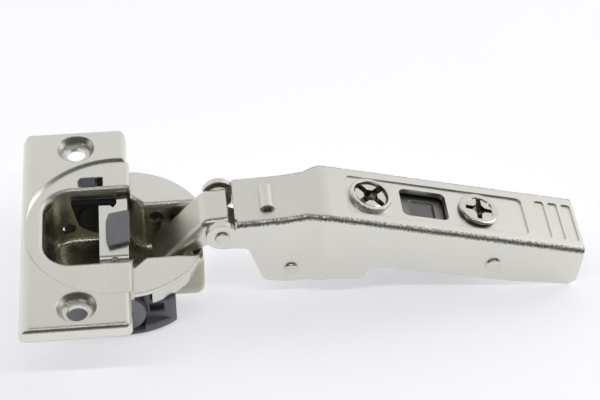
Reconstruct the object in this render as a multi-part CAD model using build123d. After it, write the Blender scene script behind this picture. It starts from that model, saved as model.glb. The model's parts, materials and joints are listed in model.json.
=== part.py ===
from build123d import *
import os
from math import atan2, cos, radians, sin, tan

# Concealed cup hinge, shown fully open. Sizes are in millimetres.
# The origin is the cup's centre at the door's back face. X runs towards the arm,
# Y runs along the pins and Z rises out of the door's back.

# Cup
cup_diameter = 35.0
cup_radius = cup_diameter / 2
cup_depth = 12.8
cup_sheet = 0.8
cup_body_gap = 0.22
axle_seat = 0.6
rim_sheet = 1.0
draw_height = 4.0
draw_taper = 0.7
draw_start = 5.2
well_left = -(cup_radius - 1.3)
well_right = cup_radius - 2.15
well_corner = 5.8
well_floor_radius = 2.0
neck_start = 1.0
neck_end = 4.2
neck_corner = 1.2
lip_reach = 0.9
end_wall_top = -5.4
end_wall_start = 13.9
end_wall_post = 0.8
wall_hole_radius = 1.45
rear_hole = (well_left + 4.3, -cup_depth + 4.2)
neck_hole = (neck_end + 2.65, -3.6)

# Flange plate
flange_left = -(cup_radius + 3.4)
flange_right = 1.2
flange_half_length = 28.05
flange_height = 3.1
flange_sheet = 1.0
left_fold = 2.4
right_fold = 1.3
end_fold = 1.0
near_corner = 1.4
far_corner = 3.0
step_centre = (-1.3, -0.4)
step_radius = cup_radius + 1.15
step_depth = 0.6
step_reach = 0.5
collar_sheet = 1.0
screw_spacing = 45.0
screw_offset = 9.5
screw_hole_radius = 2.1
dimple_radius = 3.9
dimple_floor_radius = 2.8
dimple_floor = 1.35
dimple_bottom = 0.3
dimple_sheet = 0.8

# Damper housings, discs and switch
damper_gap = 0.15
damper_top = -1.15
damper_left = -13.0
damper_right = 9.9
damper_foot_height = 2.2
damper_box_left = 3.3
damper_box_inset = 2.6
damper_slot = (5.9, -7.4)
damper_slot_width = 2.9
damper_slot_height = 2.4
damper_slot_depth = 1.6
disc_centre = (-1.5, -7.3)
disc_radius = 5.2
disc_face = cup_radius - 1.2
disc_sheet = 1.6
hub_radius = 2.4
hub_groove = 0.25
disc_gap = 0.05
switch_y = 12.6
switch_slot_left = -9.1
switch_slot_length = 5.2
switch_slot_width = 2.8
switch_length = 3.3
switch_gap = 0.1
switch_rib_count = 6

# Pins
pin_radius = 1.35
pin_run = 0.04
head_radius = 1.5
head_height = 0.5

# Fold: pivots in the cup and in the arm
outer_pivot = (8.8, -7.3)
inner_pivot = (12.8, -5.2)
knuckle = (20.1, 3.56)
link_pivot = (34.2, -6.9)

# Arm
arm_sheet = 1.25
arm_front_half = 7.0
arm_rear_half = 8.1
joggle_start = 37.6
joggle_end = 40.6
arm_bend_radius = 1.3
arm_front = 22.8
arm_rear = 96.6
arm_front_height = 6.9
arm_ear_radius = 3.35
arm_neck_reach = 1.2
relief_radius = 0.75
crest = (42.5, 8.46)
rear_top = (96.6, -6.57)
arm_underside = [
    (96.3, -7.6), (95.7, -15.6, 0.8), (94.2, -16.6, 0.8), (81.2, -14.3, 20.0), (57.0, -8.0, 20.0),
    (51.0, -6.6, 1.2), (50.0, -7.6, 1.0), (49.1, -10.3, 0.6), (47.0, -10.3, 1.5), (43.4, -9.7, 3.0),
    (38.9, -10.3, 3.0), (33.9, -10.9, 8.0), (28.6, -9.9, 1.6), (25.3, -0.1, 1.2), (22.8, 0.25),
]
bump_x = 29.6
bump_z = 6.8
bump_radius = 1.6
bump_length = 6.5
bump_hole_radius = 0.75
bump_mouth = 0.6
recess_start = 4.0
recess_end = 43.9
recess_half = 5.3
recess_depth = 0.45
side_screw_u = 9.1
collar_radius = 4.6
collar_height = 0.5
collar_bore = 3.75
cam_u = 33.2
cam_bore = 3.5
window_start = 15.9
window_end = 26.2
window_half = 3.85
groove_count = 3
groove_start = 48.1
groove_pitch = 3.15
groove_width = 2.1
groove_half = 5.3
groove_depth = 0.35

# Outer link, folded to fit between the arm's ears
link_sheet = 1.2
link_bend_radius = 1.6
link_side_gap = 0.55
ear_outer = arm_front_half - arm_sheet - link_side_gap
link_top = [(5.6, -7.0), (16.4, 5.95, 2.6), (21.4, 6.4)]
link_underside = [
    (21.9, 4.6, 1.0), (21.3, 1.4, 1.0), (19.2, 0.9, 1.0), (13.2, -1.9, 2.0), (10.4, -5.4, 0.5),
    (10.7, -6.7, 0.6), (10.2, -8.9, 0.8), (7.2, -8.5, 0.8), (6.5, -7.8),
]
outer_eye_radius = 2.25
knuckle_eye_radius = 2.6

# Inner link, cranked to pass between the knuckle pin and the door
plate_count = 3
plate_gap = 0.1
plate_side_gap = 0.3
inner_half_stack = ear_outer - link_sheet - plate_side_gap
plate_sheet = (2 * inner_half_stack - (plate_count - 1) * plate_gap) / plate_count
inner_eye_radius = 2.2
inner_plate = [
    (11.6, -3.8, 0.5), (16.0, 0.9, 2.0), (18.3, 1.85, 2.0), (21.6, 1.8, 3.0), (29.0, -2.3, 3.0),
    (35.7, -3.9), (33.2, -10.4), (27.4, -6.1, 2.0), (22.2, 0.3, 2.0), (17.1, 0.3, 0.8),
    (14.5, -6.4, 0.5),
]
link_hole_radius = 3.15
link_hole_shift = (0.15, -0.35)
link_eye_radius = 3.85

# Well, wide enough for the arm's ears
neck_half_width = arm_front_half + 0.2
well_half_width = neck_half_width + 3.0

# Closing lever, pad and spring
lever_pivot = (-2.9, -6.0)
lever_near = -(well_half_width - 0.7)
lever_far = well_half_width - 1.6
lever_sheet = 0.9
lever_top = 1.9
lever_left = -4.9
lever_right = 1.0
lever_bend_radius = 1.4
lever_eye_radius = 1.9
lever_far_cut = [(-4.9, 6.1), (-2.6, 6.0), (-1.9, 5.3), (-1.2, 6.5), (0.2, 7.7), (1.0, 8.0)]
lever_notch_x = -1.9
lever_notch_radius = 0.9
stub_radius = 1.0
pad_thickness = 0.9
pad_grip = 0.3
pad_plan = [
    (-2.9, 2.9, 0.4), (1.3, 3.7, 0.4), (1.3, -5.3, 0.3), (-2.9, -6.4, 0.3), (-3.5, -4.1, 5.0),
    (-3.5, 0.6, 5.0),
]
spring_wire = 0.4
spring_turns = 1.5

# Damper lever
damper_lever_sheet = 1.1
damper_lever_gap = 0.12
damper_lever_side = [
    (-11.0, 0.1, 0.6), (-1.6, -0.3, 1.5), (-0.9, -6.2, 1.8), (-2.8, -8.4, 1.8), (-5.9, -9.5, 1.0),
    (-8.7, -7.9, 0.9), (-9.7, -6.8, 0.8),
]
damper_lobe = (-6.6, -3.9)
damper_lobe_radius = 2.9
damper_lobe_height = 0.3

# Mounting channel, which slides in the arm
channel_gap = 0.2
channel_sheet = 1.1
channel_start = 2.5
channel_end = 51.0
channel_top = -2.3
channel_depth = 11.6
channel_travel = 1.5
channel_underside = [
    (30.0, -40.0), (30.0, -8.2), (48.6, -9.0), (53.0, -6.2), (60.0, -8.0), (100.0, -18.8), (100.0, -40.0),
]
view_shift = 0.2
view_margin = 2.4
view_side_margin = 1.2
slot_gap = 0.3

# Screws
side_screw_radius = 3.7
side_screw_shank = 2.6
side_screw_length = 5.2
side_screw_depth = 0.6
cam_disc_radius = 4.35
cam_disc_height = 1.2
cam_boss_radius = 3.46
cam_pin_radius = 1.5
cam_pin_offset = 1.9
cam_pin_length = 2.4
cross_width = 1.3
cross_length = 4.6
cross_depth = 1.2

# Latch
latch_pivot = (77.0, -8.8)
latch_pin_radius = 1.5
latch_half = 5.0
latch_sheet = 1.2
latch_drop = 2.9
latch_length = 16.0
latch_spring_radius = 2.3
latch_spring_half = 2.6

slope = atan2(crest[1] - rear_top[1], rear_top[0] - crest[0])
rear_plane = Plane(
    origin=(crest[0], 0, crest[1]),
    x_dir=(cos(slope), 0, -sin(slope)),
    z_dir=(sin(slope), 0, cos(slope)),
)


def outline(points):
    """Closed face through the points; a third value rounds that corner."""
    corners = []
    count = len(points)
    for i in range(count):
        here = Vector(points[i][0], points[i][1])
        back = (Vector(points[i - 1][0], points[i - 1][1]) - here).normalized()
        ahead_point = points[(i + 1) % count]
        ahead = (Vector(ahead_point[0], ahead_point[1]) - here).normalized()
        radius = points[i][2] if len(points[i]) > 2 else 0
        if radius == 0:
            corners.append((here, None, here))
            continue
        half = radians(back.get_angle(ahead)) / 2
        reach = radius / tan(half)
        middle = here + (back + ahead).normalized() * (radius / sin(half) - radius)
        corners.append((here + back * reach, middle, here + ahead * reach))
    edges = []
    for i in range(count):
        start, middle, stop = corners[i]
        if middle is not None:
            edges.append(ThreePointArc(start, middle, stop))
        following = corners[(i + 1) % count][0]
        if (following - stop).length > 0.001:
            edges.append(Line(stop, following))
    return make_face(edges)


def side_prism(face, y_low, y_high):
    """Face drawn in X and Z, thickened from y_low to y_high."""
    return extrude(Plane.XZ.offset(-y_high) * face, amount=y_high - y_low)


def plan_prism(face, z_low, z_high):
    """Face drawn in X and Y, thickened from z_low to z_high."""
    return extrude(Plane.XY.offset(z_low) * face, amount=z_high - z_low)


def rear_prism(face, v_low, v_high):
    """Face drawn on the arm's sloping rear top, thickened between two heights."""
    return extrude(rear_plane.offset(v_low) * face, amount=v_high - v_low)


def span(x_low, x_high, y_low, y_high, z_low, z_high):
    """Box between two values on each axis."""
    return Pos((x_low + x_high) / 2, (y_low + y_high) / 2, (z_low + z_high) / 2) * Box(
        x_high - x_low, y_high - y_low, z_high - z_low
    )


def rear_span(u_low, u_high, y_low, y_high, v_low, v_high):
    """Box in the frame of the arm's sloping rear top."""
    middle = Pos((u_low + u_high) / 2, (y_low + y_high) / 2, (v_low + v_high) / 2)
    return rear_plane * middle * Box(u_high - u_low, y_high - y_low, v_high - v_low)


def bar(centre, radius, y_low, y_high):
    """Round bar along Y."""
    return side_prism(Pos(centre[0], centre[1]) * Circle(radius), y_low, y_high)


def upright(x, y, radius, z_low, z_high):
    """Round bar along Z."""
    return plan_prism(Pos(x, y) * Circle(radius), z_low, z_high)


def rear_upright(u, y, radius, v_low, v_high):
    """Round bar square to the arm's sloping rear top."""
    return rear_prism(Pos(u, y) * Circle(radius), v_low, v_high)


def well_face(grow):
    """Plan of the well's inside, grown outwards by a distance."""
    return outline([
        (well_left - grow, well_half_width + grow, well_corner + grow),
        (neck_start + grow * 0.4, well_half_width + grow, neck_corner),
        (neck_end + grow * 0.4, neck_half_width + grow, neck_corner),
        (well_right + grow, neck_half_width + grow, neck_corner + grow),
        (well_right + grow, -neck_half_width - grow, neck_corner + grow),
        (neck_end + grow * 0.4, -neck_half_width - grow, neck_corner),
        (neck_start + grow * 0.4, -well_half_width - grow, neck_corner),
        (well_left - grow, -well_half_width - grow, well_corner + grow),
    ])


def lip_tool(z):
    """Rolled widening of the well's mouth that ends at a height."""
    reach = lip_reach
    first = extrude(Plane.XY.offset(z - reach) * well_face(0), amount=reach + 0.05, taper=-25)
    rise = reach * 0.466
    second = extrude(Plane.XY.offset(z - rise) * well_face(0), amount=rise + 0.05, taper=-65)
    return first + second


def bottom_edges(solid, z):
    """Edges that lie at one height."""
    return solid.edges().filter_by_position(Axis.Z, z - 0.01, z + 0.01)


def cone_between(low_radius, high_radius, z_low, z_high):
    """Cone about the cup's axis between two heights."""
    return Pos(0, 0, (z_low + z_high) / 2) * Cone(low_radius, high_radius, z_high - z_low)


def draw_shoulders():
    """Drawn shoulders that hang from the rim beside the neck."""
    low = -rim_sheet - draw_height
    high = -rim_sheet / 2
    outer = cup_radius - cup_body_gap
    inner = outer - cup_sheet
    shell = cone_between(outer - draw_taper, outer, low, high)
    shell = shell - cone_between(inner - draw_taper, inner, low - 0.01, high + 0.01)
    return shell & span(draw_start, cup_radius, -cup_radius, cup_radius, low, high)


def make_cup():
    """Drawn well with its flat rim."""
    outside = plan_prism(well_face(cup_sheet), -cup_depth, 0)
    outside = fillet(bottom_edges(outside, -cup_depth), well_floor_radius)
    outside = outside & upright(0, 0, cup_radius - cup_body_gap, -cup_depth, 0)
    inside = plan_prism(well_face(0), -cup_depth + cup_sheet, 2)
    inside = fillet(bottom_edges(inside, -cup_depth + cup_sheet), well_floor_radius - cup_sheet)
    cup = outside + upright(0, 0, cup_radius, -rim_sheet, 0) + draw_shoulders()
    cup = cup - inside
    cup = cup - (lip_tool(0) & span(flange_right + step_reach, cup_radius, -cup_radius, cup_radius, -2, 2))
    gap_half = neck_half_width - end_wall_post
    cup = cup - span(end_wall_start, cup_radius + 1, -gap_half, gap_half, end_wall_top, 1)
    cup = cup - span(well_right, cup_radius + 1, -cup_radius, cup_radius, -rim_sheet - 0.6, 1)
    for side in (-1, 1):
        wall = side * (neck_half_width - 1)
        out = side * (neck_half_width + axle_seat)
        cup = cup - bar(outer_pivot, pin_radius, min(wall, out), max(wall, out))
        cup = cup - bar(inner_pivot, pin_radius, min(wall, out), max(wall, out))
        wall = side * (well_half_width - 1)
        out = side * (well_half_width + cup_sheet + 0.5)
        cup = cup - bar(lever_pivot, stub_radius, min(wall, out), max(wall, out))
        cup = cup - bar(rear_hole, wall_hole_radius, min(wall, out), max(wall, out))
    return cup - bar(neck_hole, wall_hole_radius, neck_half_width - 1, neck_half_width + 2)


def dimple_tool():
    """Stepped recess and through hole of one screw place."""
    profile = make_face(Polyline(
        (0, -2), (screw_hole_radius, -2), (screw_hole_radius, dimple_floor),
        (dimple_floor_radius, dimple_floor), (dimple_floor_radius + 0.3, dimple_floor + 0.6),
        (dimple_radius, flange_height - 0.15), (dimple_radius + 0.3, flange_height + 0.5),
        (0, flange_height + 0.5), close=True))
    return revolve(Plane.XZ * profile, Axis.Z)


def dimple_body():
    """Metal pressed down around one screw place."""
    profile = make_face(Polyline(
        (0, dimple_bottom), (dimple_floor_radius + dimple_sheet * 0.6, dimple_bottom),
        (dimple_floor_radius + dimple_sheet, dimple_floor),
        (dimple_radius + dimple_sheet, flange_height - flange_sheet + 0.1),
        (0, flange_height - flange_sheet + 0.1), close=True))
    return revolve(Plane.XZ * profile, Axis.Z)


def tray_block(inset, low):
    """Outer shape of the tray; an inset gives the space inside its sheet."""
    left = flange_left + inset
    right = flange_right - inset
    half = flange_half_length - inset
    top = flange_height - inset
    across = outline([
        (left, low), (left, top, max(left_fold - inset, 0)), (right, top, max(right_fold - inset, 0)),
        (right, low)])
    along = outline([
        (-half, low), (-half, top, max(end_fold - inset, 0)), (half, top, max(end_fold - inset, 0)),
        (half, low)])
    near = max(near_corner - inset, 0)
    far = max(far_corner - inset, 0)
    plan = outline([(left, -half, near), (right, -half, near), (right, half, far), (left, half, far)])
    block = side_prism(across, -half, half)
    block = block & extrude(Plane.YZ.offset(left) * along, amount=right - left)
    return block & plan_prism(plan, low, top)


def make_flange():
    """Drawn tray over the cup's rim, with the well's mouth and two dimples."""
    top = flange_height
    step = top - step_depth
    step_x, step_y = step_centre
    inner_right = flange_right + step_reach
    slope_height = step_depth + 0.4
    tray = tray_block(0, 0)
    tray = tray - Pos(step_x, step_y, step + slope_height / 2) * Cone(
        step_radius, step_radius + slope_height, slope_height)
    tongue = span(-4, inner_right, step_y - step_radius + 0.2, step_y + step_radius - 0.2, 0, step)
    right_edges = tongue.edges().filter_by_position(Axis.X, inner_right - 0.01, inner_right + 0.01)
    tongue = fillet(right_edges.filter_by(Axis.Y).sort_by(Axis.Z)[-1:], 0.9)
    tray = tray + tongue
    kept = upright(step_x, step_y, step_radius + flange_sheet, step - flange_sheet, top)
    tray = tray - (tray_block(flange_sheet, -1) - kept)
    collar = plan_prism(well_face(collar_sheet), 0, step)
    collar = collar & span(-30, inner_right, -20, 20, -1, 5)
    tray = tray + collar
    for side in (-1, 1):
        tray = tray + Pos(-screw_offset, side * screw_spacing / 2) * dimple_body()
        tray = tray - Pos(-screw_offset, side * screw_spacing / 2) * dimple_tool()
    slot = outline([
        (switch_slot_left, switch_y - switch_slot_width / 2, 0.9),
        (switch_slot_left + switch_slot_length, switch_y - switch_slot_width / 2, 0.3),
        (switch_slot_left + switch_slot_length, switch_y + switch_slot_width / 2, 0.3),
        (switch_slot_left, switch_y + switch_slot_width / 2, 0.9),
    ])
    tray = tray - plan_prism(slot, -1, top + 1)
    tray = tray - plan_prism(well_face(0), -1, top + 1)
    return tray - lip_tool(step)


def make_housing(side):
    """Half-moon cassette beside the well; side is -1 near and 1 far."""
    reach = cup_radius - cup_body_gap - 0.05
    body = upright(0, 0, reach, -cup_depth, damper_top)
    body = body & span(damper_left, damper_right, -cup_diameter, -neck_half_width, -cup_depth, damper_top)
    body = body - plan_prism(well_face(cup_sheet + damper_gap), -cup_depth - 1, 2)
    body = body - span(
        draw_start - 0.4, cup_radius, -cup_radius, 0, -rim_sheet - draw_height - damper_gap, 2)
    box_face = -cup_radius + damper_box_inset
    body = body - span(
        damper_box_left, cup_radius, -cup_radius, box_face, -cup_depth + damper_foot_height, 2)
    body = body - span(
        damper_box_left - 20, damper_box_left, -cup_radius, -disc_face + disc_sheet,
        -cup_depth + 0.9, damper_top + 1)
    slot_x, slot_z = damper_slot
    body = body - span(
        slot_x - damper_slot_width / 2, slot_x + damper_slot_width / 2,
        box_face - 1, box_face + damper_slot_depth,
        slot_z - damper_slot_height / 2, slot_z + damper_slot_height / 2)
    body = body - bar(disc_centre, disc_radius + disc_gap, -cup_diameter, -disc_face + disc_sheet)
    body = body - bar(lever_pivot, stub_radius + 0.3, -well_half_width - 3, -well_half_width)
    if side > 0:
        body = mirror(body, Plane.XZ)
    return body


def make_disc(side):
    """Round cover on a housing, with a hub ring."""
    y_low = -disc_face
    disc = bar(disc_centre, disc_radius, y_low, y_low + disc_sheet)
    ring = bar(disc_centre, hub_radius + hub_groove, y_low - 1, y_low + 0.3)
    ring = ring - bar(disc_centre, hub_radius, y_low - 1, y_low + 0.3)
    disc = disc - ring
    disc = disc & upright(0, 0, cup_radius - cup_body_gap - 0.05, -cup_depth, 0)
    if side > 0:
        disc = mirror(disc, Plane.XZ)
    return disc


def make_switch():
    """Ribbed slider on a thin foot that is held under the flange plate."""
    left = switch_slot_left + switch_gap
    half = switch_slot_width / 2 - switch_gap
    foot_top = flange_height - step_depth - flange_sheet - 0.1
    foot = span(left - 0.8, left + switch_length + 0.5, switch_y - half, switch_y + half + 0.8,
                0.02, foot_top)
    block = outline([
        (left, switch_y - half, 0.8), (left + switch_length, switch_y - half),
        (left + switch_length, switch_y + half), (left, switch_y + half, 0.8),
    ])
    top = flange_height - step_depth + 0.15
    body = foot + plan_prism(block, foot_top - 0.1, top)
    pitch = switch_length / (switch_rib_count + 1)
    for i in range(switch_rib_count):
        x = left + pitch * (i + 1)
        body = body - span(x - 0.11, x + 0.11, switch_y - half - 1, switch_y + half + 1, top - 0.25, top + 1)
    return body


def make_damper_lever():
    """Black lever with a round lobe, on the closing lever's far axle."""
    y_high = well_half_width - damper_lever_gap
    y_low = y_high - damper_lever_sheet
    lever = side_prism(outline(damper_lever_side), y_low, y_high)
    lobe = bar(damper_lobe, damper_lobe_radius, y_low - damper_lobe_height, y_low + 0.1)
    lobe = fillet(lobe.edges().filter_by(GeomType.CIRCLE).sort_by(Axis.Y)[:1], damper_lobe_height * 0.9)
    lever = lever + (lobe & side_prism(outline(damper_lever_side), y_low - 1, y_high))
    return lever - bar(lever_pivot, stub_radius + pin_run, y_low - 2, y_high + 2)


def make_outer_stub(side):
    """Short axle of the outer link, pressed in the neck's wall."""
    inner = side * (ear_outer - link_sheet - 0.15)
    outer = side * (neck_half_width + axle_seat)
    return bar(outer_pivot, pin_radius, min(inner, outer), max(inner, outer))


def make_inner_axle():
    """Axle of the inner link, pressed in both walls of the neck."""
    half = neck_half_width + axle_seat
    return bar(inner_pivot, pin_radius, -half, half)


def make_lever_stub(side):
    """Short axle of the closing lever, pressed in the well's wall."""
    outer = side * (well_half_width + cup_sheet + 0.1)
    inner = lever_near + lever_sheet + spring_wire * (spring_turns + 1) + 0.1
    if side > 0:
        inner = lever_far - lever_sheet - 0.15
    return bar(lever_pivot, stub_radius, min(inner, outer), max(inner, outer))


def headed_pin(centre, radius, head, half):
    """Pin through two walls, with a round head at each end."""
    half = half + 0.02
    pin = bar(centre, radius, -half, half)
    for side in (-1, 1):
        end = bar(centre, head, half, half + head_height)
        end = fillet(end.edges().filter_by(GeomType.CIRCLE).sort_by(Axis.Y)[-1:], head_height * 0.6)
        if side < 0:
            end = mirror(end, Plane.XZ)
        pin = pin + end
    return pin


def inner_line(points, sheet):
    """The same line, one sheet thickness to its right, with tighter bends."""
    line = []
    for i in range(len(points)):
        here = Vector(points[i][0], points[i][1])
        before = Vector(points[max(i - 1, 0)][0], points[max(i - 1, 0)][1])
        after = Vector(points[min(i + 1, len(points) - 1)][0], points[min(i + 1, len(points) - 1)][1])
        first = here - before if i > 0 else after - here
        second = after - here if i < len(points) - 1 else first
        first = Vector(first.Y, -first.X).normalized()
        second = Vector(second.Y, -second.X).normalized()
        shifted = here + (first + second) * (sheet / (1 + first.dot(second)))
        point = (shifted.X, shifted.Y)
        if len(points[i]) > 2:
            point = point + (max(points[i][2] - sheet, 0.3),)
        line.append(point)
    return line


def stretched(point, toward, distance):
    """Point moved away from its neighbour."""
    here = Vector(point[0], point[1])
    step = (here - Vector(toward[0], toward[1])).normalized() * distance
    return (here.X + step.X, here.Y + step.Y)


def link_fold_edges(body):
    """Long upper edges of the outer link, where its sheet folds into the ears."""
    foot, bend = link_top[0], link_top[1]
    rise = (bend[1] - foot[1]) / (bend[0] - foot[0])
    folds = []
    for edge in body.edges():
        centre = edge.center()
        line = min(foot[1] + rise * (centre.X - foot[0]), bend[1])
        if abs(centre.Y) > ear_outer - 0.01 and centre.Z > line - 0.7 and centre.X < link_top[-1][0]:
            folds.append(edge)
    return folds


def make_outer_link():
    """Folded sheet: a web that bends down into an ear on each side."""
    body = side_prism(outline(link_top + link_underside), -ear_outer, ear_outer)
    body = fillet(link_fold_edges(body), link_bend_radius)
    under = inner_line(link_top, link_sheet)
    start = stretched(under[0], under[1], 5)
    stop = stretched(under[-1], under[-2], 10)
    inside = outline([start] + under[1:-1] + [stop, (stop[0], -20), (start[0], -20)])
    half = ear_outer - link_sheet
    link = body - side_prism(inside, -half, half)
    for side in (-1, 1):
        y_low = min(side * ear_outer, side * half)
        link = link + bar(outer_pivot, outer_eye_radius, y_low, y_low + link_sheet)
        link = link + bar(knuckle, knuckle_eye_radius, y_low, y_low + link_sheet)
    link = link - bar(outer_pivot, pin_radius + pin_run, -20, 20)
    return link - bar(knuckle, pin_radius + pin_run, -20, 20)


def make_inner_plate(index):
    """One plate of the inner link; the free end's hole is wide."""
    y_low = -inner_half_stack + index * (plate_sheet + plate_gap)
    y_high = y_low + plate_sheet
    eye_centre = (link_pivot[0] + link_hole_shift[0], link_pivot[1] + link_hole_shift[1])
    plate = side_prism(outline(inner_plate), y_low, y_high)
    plate = plate + bar(inner_pivot, inner_eye_radius, y_low, y_high)
    plate = plate + bar(eye_centre, link_eye_radius, y_low, y_high)
    plate = plate - bar(inner_pivot, pin_radius + pin_run, y_low - 1, y_high + 1)
    return plate - bar(eye_centre, link_hole_radius, y_low - 1, y_high + 1)


def lever_leg(left, right, y_low):
    """One leg of the closing lever, from its head down to the axle."""
    face = outline([
        (left, lever_top, 0.3), (right, lever_top, 0.3), (right, lever_top - 2.0, 0.8),
        (lever_pivot[0] + 1.6, lever_pivot[1] + 0.9, 0.6), (lever_pivot[0] + 1.3, lever_pivot[1] - 1.2, 0.4),
        (lever_pivot[0] - 1.4, lever_pivot[1] - 0.6, 0.4), (left, lever_top - 3.0, 0.8),
    ])
    leg = side_prism(face, y_low, y_low + lever_sheet)
    return leg + bar(lever_pivot, lever_eye_radius, y_low, y_low + lever_sheet)


def make_closing_lever():
    """Bent bracket: a head across the well and one leg down each side."""
    head = span(lever_left, lever_right, lever_near, lever_far, lever_top - lever_sheet, lever_top)
    plan = outline([(lever_left, lever_near - 1), (lever_right, lever_near - 1)] + [
        (lever_right, lever_far + 1), (lever_far_cut[-1][0] - 2.2, lever_far + 1)] + lever_far_cut[-3::-1])
    head = head & plan_prism(plan, 0, 5)
    near_leg = lever_leg(lever_left, lever_right, lever_near)
    far_leg = lever_leg(lever_far_cut[3][0], lever_right, lever_far - lever_sheet)
    lever = head + near_leg + far_leg
    ends = []
    for edge in lever.edges().filter_by(Axis.X):
        centre = edge.center()
        outer = centre.Y < lever_near + 0.01 or centre.Y > lever_far - 0.01
        if outer and centre.Z > lever_top - 0.01:
            ends.append(edge)
    lever = fillet(ends, lever_bend_radius)
    notch = upright(
        lever_notch_x, lever_near, lever_notch_radius, lever_top - lever_sheet - 0.6, lever_top + 0.3)
    lever = lever - notch
    return lever - bar(lever_pivot, stub_radius + pin_run, -20, 20)


def make_pad():
    """Plastic pad clipped over the head's right edge."""
    high = lever_top + pad_thickness
    right = lever_right + pad_grip
    pad = plan_prism(outline(pad_plan), lever_top - lever_sheet, high)
    keep = span(lever_left - 1, right + 1, -20, 20, lever_top, high + 1)
    return pad & (keep + span(lever_right + 0.02, right + 1, -20, 20, lever_top - lever_sheet, high + 1))


def make_closing_spring():
    """Leg spring round the near stub axle, drawn as rings joined by a leg."""
    coil_radius = stub_radius + spring_wire / 2 + 0.1
    y_start = lever_near + lever_sheet + spring_wire / 2 + 0.05
    height = spring_wire * 1.05 * spring_turns
    path = Helix(pitch=spring_wire * 1.05, height=height, radius=coil_radius)
    path = Pos(lever_pivot[0], y_start, lever_pivot[1]) * Rot(-90, 0, 0) * path
    start = path @ 0
    section = Plane(origin=start, z_dir=path % 0) * Circle(spring_wire / 2)
    spring = sweep(section, path=path, is_frenet=True)
    stop = path @ 1
    direction = (path % 1).normalized()
    leg = Plane(origin=stop, z_dir=direction) * Cylinder(
        spring_wire / 2, 3.4, align=(Align.CENTER, Align.CENTER, Align.MIN))
    return spring + leg


def arm_side(drop):
    """Side view of the arm; a drop gives the space inside the sheet."""
    front = knuckle[0] - 5 if drop else arm_front
    past = 10 if drop else 0
    top = [
        (front, arm_front_height - drop),
        (33.0, arm_front_height + 0.45 - drop, 30.0),
        (crest[0] - 1.2, crest[1] + 0.1 - drop * 1.02, 6.0),
        (rear_top[0] + past, rear_top[1] - past * tan(slope) - drop * 1.04),
    ]
    if drop:
        return outline(top + [(rear_top[0] + past, -40), (front, -40)])
    return outline(top + arm_underside)


def arm_plan(inset):
    """Plan of the arm; an inset gives the space inside the sheet."""
    front = arm_front_half - inset
    rear = arm_rear_half - inset
    low = 10.0
    high = 120.0 if inset else arm_rear
    return outline([
        (low, front), (joggle_start, front, 3.0), (joggle_end, rear, 3.0), (high, rear),
        (high, -rear), (joggle_end, -rear, 3.0), (joggle_start, -front, 3.0), (low, -front),
    ])


def arm_outside():
    """Solid outer shape of the arm with its long bends rounded."""
    body = side_prism(arm_side(0), -15, 15)
    body = body & plan_prism(arm_plan(0), -40, 40)
    bends = []
    for edge in body.edges():
        centre = edge.center()
        if arm_front + 0.1 < centre.X < arm_rear - 0.2 and abs(centre.Y) > arm_front_half - 0.3:
            line = crest[1] - (centre.X - crest[0]) * tan(slope)
            if centre.X < crest[0] + 4:
                line = arm_front_height
            if centre.Z > line - 0.6:
                bends.append(edge)
    return fillet(bends, arm_bend_radius)


def arm_ears():
    """Flat round ears that carry the knuckle pin."""
    ear = arm_ear_radius
    low = knuckle[1] - ear
    joint = arm_front + arm_neck_reach
    high = arm_front_height - arm_bend_radius
    neck = outline([(knuckle[0], low), (joint, low), (joint, high - 0.2), (knuckle[0], high)])
    ears = None
    for side in (-1, 1):
        y_low = min(side * arm_front_half, side * (arm_front_half - arm_sheet))
        one = bar(knuckle, ear, y_low, y_low + arm_sheet) + side_prism(neck, y_low, y_low + arm_sheet)
        ears = one if ears is None else ears + one
    return ears


def arm_details(body):
    """Bridge bump, recess and the side screw's collar."""
    body = body + bar((bump_x, bump_z), bump_radius, -bump_length / 2, bump_length / 2)
    collar = rear_upright(side_screw_u, 0, collar_radius, -1.0, collar_height)
    collar = fillet(collar.edges().filter_by(GeomType.CIRCLE).sort_by(Axis.Z)[-1:], collar_height * 0.8)
    body = body - recess_tool()
    return body + collar


def recess_tool():
    """Shallow pressed field on the rear top."""
    face = outline([
        (recess_start, -recess_half, 1.2), (recess_end, -recess_half, 1.2),
        (recess_end, recess_half, 1.2), (recess_start, recess_half, 1.2),
    ])
    return rear_prism(face, -recess_depth, 3)


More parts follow.
